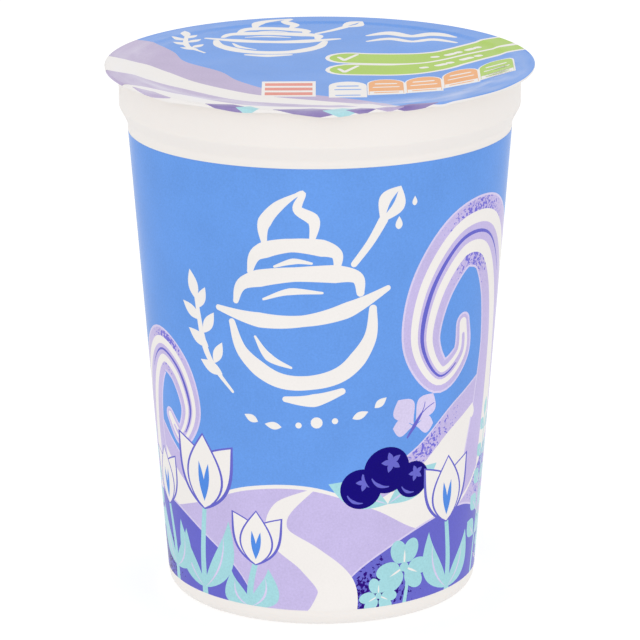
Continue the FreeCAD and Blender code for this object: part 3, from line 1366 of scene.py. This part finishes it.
@dataclass
class FoilLid:
    """The printed foil: sunk panel, ring on the seal land and an edge bent over the flange."""

    top: float  # of its seal ring
    flange_radius: float
    thickness: float = 0.09
    edge_reach: float = 1.25  # flat foil beyond the flange
    ledge: float = 0.47  # level run before the bend, where the edge isn't pressed down
    loose_bend: float = 0.2  # radius of the bend there
    pressed_bend: float = 0.5  # radius of the bend where the edge is pressed down
    tuck: float = 0.1  # how far a millimetre of hanging edge leans in
    step_inset: float = 0.5  # from the seal land in to the step
    step_width: float = 2.2
    sink: float = 0.26  # of the panel below the ring
    sag: float = 0.16  # of its middle below its rim
    fold: float = 0.1  # size of the small folds round the panel
    fold_radius: float = 42.5  # where they are largest
    fold_reach: float = 4.0  # how far from there they end
    # A painted sheen on the front of the seal ring stands in for reflected light.
    painted_sheen_radius: float = 44.0  # where the painted sheen, in place of reflected light, whitens the print most
    painted_sheen_reach: float = 7.0  # how far from there it ends
    most_painted_sheen: float = 0.6
    painted_highlight_margin: float = 0.5  # white strip along the front edge: a painted highlight of the curled cut edge
    painted_shade_margin: float = 1.3  # darker strip along the back edge: painted shade where the edge bends away
    mark_radius: float = 47.6  # middle line of the marks along the front edge
    lobes: tuple[Lobe, ...] = (
        Lobe(-134.0, 9.0, 0.1),
        Lobe(-111.0, 8.5, 0.12),
        Lobe(-87.5, 11.5, 0.55),
        Lobe(-66.0, 7.5, 0.05),
        Lobe(-56.5, 4.0, 0.05),
    )

    def _pressed(self, degrees: float) -> tuple[float, float]:
        """How firmly the edge is pressed down in a direction, up to 1, and how much further it reaches.

        Args:
            degrees: The direction, from +X.

        Returns:
            The firmness and the reach.
        """
        share = depth = 0.0
        for lobe in self.lobes:
            turn = (degrees - lobe.direction + 180.0) % 360.0 - 180.0
            if abs(turn) < lobe.half_width:
                bump = 0.5 + 0.5 * math.cos(math.pi * turn / lobe.half_width)
                share, depth = share + bump, depth + bump * lobe.depth
        return min(1.0, share), depth

    def reach(self, degrees: float) -> float:
        """Flat distance from the axis to the cut edge in a direction from +X.

        Args:
            degrees: The direction.

        Returns:
            The distance.
        """
        uneven = 0.03 * math.sin(math.radians(degrees * 7)) + 0.02 * math.sin(math.radians(degrees * 19 + 40))
        return self.flange_radius + self.edge_reach + self._pressed(degrees)[1] + uneven

    def _height(self, x: float, y: float, flat: float) -> float:
        """Height of the panel against the top of the seal ring.

        Args:
            x: Of the point.
            y: Of the point.
            flat: Its distance from the axis.

        Returns:
            The height in millimetres.
        """
        inner = self.flange_radius - LAND_WIDTH - self.step_inset
        step = min(1.0, max(0.0, (inner - flat) / self.step_width))
        step = step * step * (3 - 2 * step)
        bowl = max(0.0, 1 - (flat / inner) ** 2)
        waves = noise.noise(Vector((x * 0.055, y * 0.055, 3.1))) * 0.16
        waves += noise.noise(Vector((x * 0.16, y * 0.16, 8.7))) * 0.035
        free = min(1.0, (inner - flat) / 6 + 0.15)
        near = max(0.0, 1 - abs(flat - self.fold_radius) / self.fold_reach)
        folds = noise.noise(Vector((math.atan2(y, x) * 11, 0.0, flat * 0.05))) * self.fold * near
        return -step * self.sink - self.sag * bowl + waves * step * free + folds

    def form(self, x: float, y: float) -> tuple[Vector, Vector]:
        """Place and normal of a point of the flat foil.

        Args:
            x: Of the point.
            y: Of the point.

        Returns:
            The place and the outward normal.
        """
        gap = 0.02
        here, east, north = self._place(x, y), self._place(x + gap, y), self._place(x, y + gap)
        return here, (east - here).cross(north - here).normalized()

    def _place(self, x: float, y: float) -> Vector:
        """Place of a point of the flat foil.

        Args:
            x: Of the point.
            y: Of the point.

        Returns:
            The place on the formed foil.
        """
        flat = math.hypot(x, y)
        if flat <= self.flange_radius:
            return Vector((x, y, self.top + self._height(x, y, flat)))
        over = flat - self.flange_radius
        pressed = self._pressed(math.degrees(math.atan2(y, x)))[0]
        ledge = min(over, self.ledge * (1 - pressed))
        bend = self.loose_bend + (self.pressed_bend - self.loose_bend) * pressed
        turn = min((over - ledge) / bend, math.pi / 2)
        hang = over - ledge - bend * turn
        radius = self.flange_radius + ledge + bend * math.sin(turn) - self.tuck * hang
        fall = bend * (1 - math.cos(turn)) + hang
        return Vector((x * radius / flat, y * radius / flat, self.top - fall))

    def _fill(self) -> Outline:
        """Points inside the foil, on rings that close up where it bends, and clear of its cut edge.

        Returns:
            The points.
        """
        runs = (  # start, gap and ring numbers: on the panel, its step, the seal ring and the bend
            (0.0, 0.9, range(1, 47)),
            (self.flange_radius - LAND_WIDTH - 2.0, 0.3, range(9)),
            (45.6, 0.45, range(4)),
            (self.flange_radius, 0.09, range(1, 26)),
        )
        clear = 0.05
        made = []
        for number, ring in enumerate(start + gap * k for start, gap, rings in runs for k in rings):
            apart = 0.9 if ring < self.flange_radius else 0.6
            count = max(6, int(2 * math.pi * ring / apart))
            for k in range(count):
                degrees = 360 * (k + 0.5 * (number % 2)) / count
                if ring < self.reach(degrees) - clear:
                    angle = math.radians(degrees)
                    made.append((ring * math.cos(angle), ring * math.sin(angle)))
        return made

    def _ring(self, inset: float, half_degrees: Iterable[int]) -> Outline:
        """Points at a distance inside the cut edge, in directions counted in half degrees from +X."""
        return [turned([(self.reach(k / 2) - inset, 0.0)], k / 2)[0] for k in half_degrees]

    def painted_sheen(self, x: float, y: float) -> float:
        """How far a painted sheen, in place of light reflected off the foil, whitens the print at a point, in
        streaks on the front of the seal ring.

        Args:
            x: Of the point on the flat foil.
            y: Of the point on the flat foil.

        Returns:
            The share, from 0 to 1.
        """
        flat, angle = math.hypot(x, y), math.atan2(y, x)
        # The painted sheen lies on the seal ring, strongest towards the front, and breaks into streaks.
        ring = max(0.0, 1 - abs(flat - self.painted_sheen_radius) / self.painted_sheen_reach)
        front = max(0.0, 0.5 - 0.5 * math.sin(angle + 0.35))
        streaks = 0.6 + 0.8 * noise.noise(Vector((angle * 5, flat * 0.5, 1.7)))
        streaks += 0.5 * noise.noise(Vector((angle * 9, flat * 1.6, 5.3)))
        return min(self.most_painted_sheen, max(0.0, 0.5 * ring * front * streaks))

    def artwork(self) -> Sheet:
        """Lays out the print.

        Returns:
            The sheet.
        """
        sheet = Sheet(self._ring(0.0, range(720)), Ink.SKY, painted_sheen=self.painted_sheen)
        # Painted highlight: a white strip along the front edge, where the curled cut edge catches the light.
        sheet.add(Ink.WHITE, self._margin(self.painted_highlight_margin, -164, 12))
        # Painted shade: a darker blue strip along the back edge, where the edge bends away from the light.
        sheet.add(Ink.HEART, self._margin(self.painted_shade_margin, 20, 340))
        self._cream(sheet)
        self._bands(sheet)
        self._tabs(sheet)
        self._panel(sheet)
        return sheet

    def _margin(self, width: float, start: int, stop: int) -> Outline:
        """A strip along the cut edge, between two directions counted in half degrees from +X.

        Args:
            width: Of the strip.
            start: The first direction.
            stop: The direction before which it ends.

        Returns:
            The outline.
        """
        return self._ring(0.0, range(start, stop)) + self._ring(width, range(stop - 1, start - 1, -1))

    def _cream(self, sheet: Sheet) -> None:
        """The cream waves along the lid's left and front edge.

        Args:
            sheet: The sheet that it prints on.
        """
        corner = (-62, -60)
        far = [(-62, 40), (-46, 26), (-38, 21), (-33, 12), (-30, 2), (-22, -8)]
        far += [(-18, -17), (-10, -27), (2, -33), (14, -41), (24, -60), corner]
        sheet.add(Ink.LAVENDER, smooth(far))
        for x, y, turn, long in ((-41, -6, 70, 11), (-45, 2, 95, 8), (-36, -17, 52, 9)):
            sheet.patches += placed([Patch(Ink.MAUVE, petal(long, 4.4, 0.42, 0.8))], x, y, turn)
        crests = (
            (
                Ink.WHITE,
                ((-62, 10), (-42, 2), (-34, -8), (-26, -20), (-14, -31), (0, -37), (14, -44), (20, -60)),
            ),
            (
                Ink.LAVENDER,
                ((-62, -4), (-44, -10), (-32, -23), (-18, -36), (-4, -40.5), (10, -45.5), (12, -60)),
            ),
            (
                Ink.WHITE,
                ((-62, -16), (-42, -22), (-30, -32), (-16, -42), (2, -44.6), (20, -44.2), (30, -60)),
            ),
        )
        for ink, crest in crests:
            sheet.add(ink, smooth([*crest, corner]))
        marks = (  # direction, ink, degrees to each side and depth, along the cut edge
            (-141, Ink.LAVENDER, 8, 1.7),
            (-114, Ink.MAUVE, 7, 2.8),
            (-109, Ink.MINT, 3, 2.4),
            (-92, Ink.MAUVE, 10, 2.6),
            (-84, Ink.MINT, 5, 2.6),
            (-79, Ink.MAUVE, 4, 2.0),
            (-65, Ink.MAUVE, 7, 2.2),
            (-72, Ink.LAVENDER, 4, 1.6),
        )
        for degrees, ink, span, depth in marks:
            path = [turned([(self.mark_radius, 0)], degrees + span * k / 6)[0] for k in range(-6, 7)]
            sheet.add(ink, ribbon(path, 0.4, depth * 1.5, 0.4))

    def _bands(self, sheet: Sheet) -> None:
        """The two lime bands, each with a tick and a row of dashes.

        Args:
            sheet: The sheet that it prints on.
        """
        bands = (  # widths, then the path
            (
                (11.2, 11.4, 9.0, 8.6, 8.8),
                ((6.8, 5.2), (12, 4.4), (21, 4.6), (27.5, 7), (32, 11), (36, 15.6), (40, 19.6), (47, 24)),
            ),
            (
                (11.2, 11.0, 7.6, 6.4, 6.0),
                ((6.8, -6.4), (11, -6.8), (18, -6.6), (25, -3.6), (30, 1), (36, 7), (42, 12.4), (49, 16.6)),
            ),
        )
        for widths, path in bands:
            line = smooth(path, closed=False)
            sheet.add(Ink.WHITE, ribbon(line, *widths))
            sheet.add(Ink.LIME, ribbon(line, *[w - 1.9 for w in widths]))
            for k in range(5):
                start = 24 + 5 * k
                sheet.add(Ink.WHITE, ribbon(line[start : start + (4 if k % 2 else 2)], 1.5, 1.5))
            sheet.patches += placed(tick(), path[0][0] - 0.6, path[0][1])

    def _tabs(self, sheet: Sheet) -> None:
        """The row of domed tabs that climbs to the right.

        Args:
            sheet: The sheet that it prints on.
        """
        tabs = (  # place, slope and ink
            (6.1, -26.6, 0.0, Ink.WHITE),
            (14.5, -24.2, 0.12, Ink.ORANGE),
            (22.8, -21.8, 0.36, Ink.ORANGE),
            (31.1, -15.0, 0.8, Ink.ORANGE),
            (39.3, -6.4, 1.05, Ink.LIME),
        )
        rim = [(-4.15, -7.4), (4.15, -7.4)] + ellipse(0, 3.6, 4.15, 4.4, count=20)[:11]
        fill = [(x * 0.92, y * 0.93 + 0.2) for x, y in rim]
        foot = oblong(-3.7, -7.2, 3.7, -4.0)
        for x, y, slope, ink in tabs:
            dash, low_dash = (Ink.SKY, Ink.SKY) if ink is Ink.WHITE else (Ink.WHITE, ink)
            shapes = (
                (Ink.WHITE, rim),
                (ink, fill),
                (Ink.WHITE, foot),
                (dash, ribbon([(-2.0, 3.4), (2.0, 3.4)], 1.0, 1.0)),
                (dash, ribbon([(-2.6, 0.0), (2.6, 0.0)], 0.8, 0.8)),
                (low_dash, ribbon([(-2.4, -5.4), (2.4, -5.4)], 0.8, 0.8)),
            )
            for shade, outline in shapes:
                sheet.add(shade, [(px + x, py + slope * px + y) for px, py in outline])

    def _panel(self, sheet: Sheet) -> None:
        """The striped panel, the sign and the two waves beside it.

        Args:
            sheet: The sheet that it prints on.
        """
        sheet.add(Ink.WHITE, oblong(-12.7, -33, -0.9, -17.8))
        for k in range(3):
            low = -31.6 + 4.6 * k
            sheet.add(Ink.CORAL, oblong(-12.0, low, -1.6, low + 2.8))
        sheet.patches += placed(bowl_sign(1.4, False), -11, 23.6, turn=-3, size=0.68)
        for rise, width in ((28.4, 3.6), (22.6, 2.6)):
            wave = [(11, rise), (16, rise + 2.6), (21, rise - 0.6), (26, rise + 1.4), (31, rise - 2)]
            sheet.add(Ink.WHITE, ribbon(smooth(wave, closed=False), 1.0, width, width * 0.7, width, 1.0))

    def build(self, bare: BareFoil) -> bpy.types.Object:
        """Makes the lid.

        Args:
            bare: Finish of its unprinted side.

        Returns:
            The piece.
        """
        back = bare.material()
        return formed_skin("foil_cover", self.artwork(), self._fill(), self.form, self.thickness, back)


# ---------------------------------------------------------------------------------------------------- studio


@dataclass(frozen=True)
class Lamp:
    """A soft square lamp that points at the pot, in metres and watts."""

    name: str
    place: tuple[float, float, float]
    size: float
    watts: float


@dataclass
class Studio:
    """Camera, floor, soft lights and white surround, in metres."""

    camera_distance: float = 1.0316
    camera_height: float = 0.3538
    camera_pitch: float = math.radians(15.81)
    camera_roll: float = math.radians(-0.21)
    camera_shift: float = -0.00015
    lens: float = 265.8
    floor_size: float = 6.0  # from its middle to its sides
    floor_shade: float = 0.62  # its colour where it is seen
    floor_glow: float = 0.50  # added there
    floor_light: float = 0.91  # what the pot gets from it
    world_light: float = 0.93
    aim_height: float = 0.06  # at which the lamps point
    lamps: tuple[Lamp, ...] = (
        Lamp("key", (-0.9, -1.7, 0.45), 1.4, 4.9),
        Lamp("fill", (1.3, -1.3, 0.3), 1.2, 3.2),
    )

    def build(self) -> None:
        """Sets the scene round the pot."""
        scene = bpy.context.scene
        scene.view_settings.view_transform = "Standard"
        self._camera(scene)
        self._floor()
        self._surround(scene)
        for lamp in self.lamps:
            self._light(lamp)

    def _camera(self, scene: bpy.types.Scene) -> None:
        """Adds the camera.

        Args:
            scene: The scene.
        """
        data = bpy.data.cameras.new("camera")
        data.lens = self.lens
        data.sensor_width = 36.0
        data.clip_start, data.clip_end = 0.05, 20.0
        made = added("camera", data)
        made.location = (self.camera_shift, -self.camera_distance, self.camera_height)
        pitch = Matrix.Rotation(math.pi / 2 - self.camera_pitch, 3, "X")
        roll = Matrix.Rotation(self.camera_roll, 3, "Z")
        made.rotation_euler = (pitch @ roll).to_euler()
        scene.camera = made

    def _floor(self) -> None:
        """Adds the pale floor, which keeps the pot's shadow."""
        size = self.floor_size
        mesh = bpy.data.meshes.new("floor")
        corners = [(-size, -size, 0), (size, -size, 0), (size, size, 0), (-size, size, 0)]
        mesh.from_pydata(corners, [], [(0, 1, 2, 3)])
        material, recipe = blank_material("floor_white")
        shade = (self.floor_shade, self.floor_shade, self.floor_shade, 1)
        paper = recipe.node("ShaderNodeBsdfDiffuse", {}, {"Color": shade})
        glow = recipe.node("ShaderNodeEmission", {}, {"Color": PURE_WHITE, "Strength": self.floor_glow})
        both = recipe.node("ShaderNodeAddShader", {}, {0: paper.outputs[0], 1: glow.outputs[0]})
        plain = recipe.node("ShaderNodeEmission", {}, {"Color": PURE_WHITE, "Strength": self.floor_light})
        shares = {0: recipe.ray("Camera"), 1: plain.outputs[0], 2: both.outputs[0]}
        pick = recipe.node("ShaderNodeMixShader", {}, shares)
        recipe.node("ShaderNodeOutputMaterial", {}, {"Surface": pick.outputs[0]})
        mesh.materials.append(material)
        added("floor", mesh)

    def _surround(self, scene: bpy.types.Scene) -> None:
        """Lights the world: white where it is seen or reflected, a little less where it lights.

        Args:
            scene: The scene.
        """
        world = bpy.data.worlds.new("surround")
        world.use_nodes = True
        scene.world = world
        recipe = Recipe(world.node_tree)
        seen = recipe.node("ShaderNodeBackground", {}, {"Color": PURE_WHITE, "Strength": 1.0})
        light = recipe.node("ShaderNodeBackground", {}, {"Color": PURE_WHITE, "Strength": self.world_light})
        looks = recipe.ray("Camera") + recipe.ray("Glossy") + recipe.ray("Transmission")
        pick = recipe.node("ShaderNodeMixShader", {}, {0: looks, 1: light.outputs[0], 2: seen.outputs[0]})
        recipe.node("ShaderNodeOutputWorld", {}, {"Surface": pick.outputs[0]})

    def _light(self, lamp: Lamp) -> None:
        """Adds one lamp.

        Args:
            lamp: The lamp.
        """
        data = bpy.data.lights.new(lamp.name, "AREA")
        data.size, data.energy = lamp.size, lamp.watts
        made = added(lamp.name, data)
        made.location = lamp.place
        aim = Vector((0, 0, self.aim_height)) - Vector(lamp.place)
        made.rotation_euler = aim.to_track_quat("-Z", "Y").to_euler()


def finish_piece(piece: bpy.types.Object, node: str) -> None:
    """Rides a piece on the pot's body in place of its node.

    Args:
        piece: The piece.
        node: The node that it stands for.
    """
    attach(piece, BODY)
    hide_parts(node)
    LOG.info("%s: %d faces", piece.name, len(piece.data.polygons))


def corners_mm(node: str) -> tuple[Vector, Vector]:
    """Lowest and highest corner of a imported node, in millimetres."""
    low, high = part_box(node)
    return Vector(low) / MM, Vector(high) / MM


def main() -> None:
    """Builds the pot's pieces in order, then the studio."""
    logging.basicConfig(level=logging.INFO)
    for ink in Ink:
        INK_MATERIALS[ink] = ink.value.material()
    pot_top = corners_mm("pot")[1]
    film_foot, film_top = corners_mm("printed_film")
    foil_top = corners_mm("foil_lid")[1]
    neck_height = pot_top.z - FLANGE_THICKNESS - SKIRT_HEIGHT - SHOULDER_RISE
    neck_radius = film_top.x + (neck_height - film_top.z) * math.tan(WALL_DRAFT)
    wall = Wall(pot_top.z, neck_radius, neck_height)
    finish_piece(PotBody(wall, pot_top.x).build(WhitePlastic()), "pot")
    finish_piece(PrintedFilm(wall, film_foot.z, film_top.z).build(), "printed_film")
    finish_piece(FoilLid(foil_top.z - FOIL_ROOM, pot_top.x).build(BareFoil()), "foil_lid")
    Studio().build()


if __name__ == "__main__":
    main()
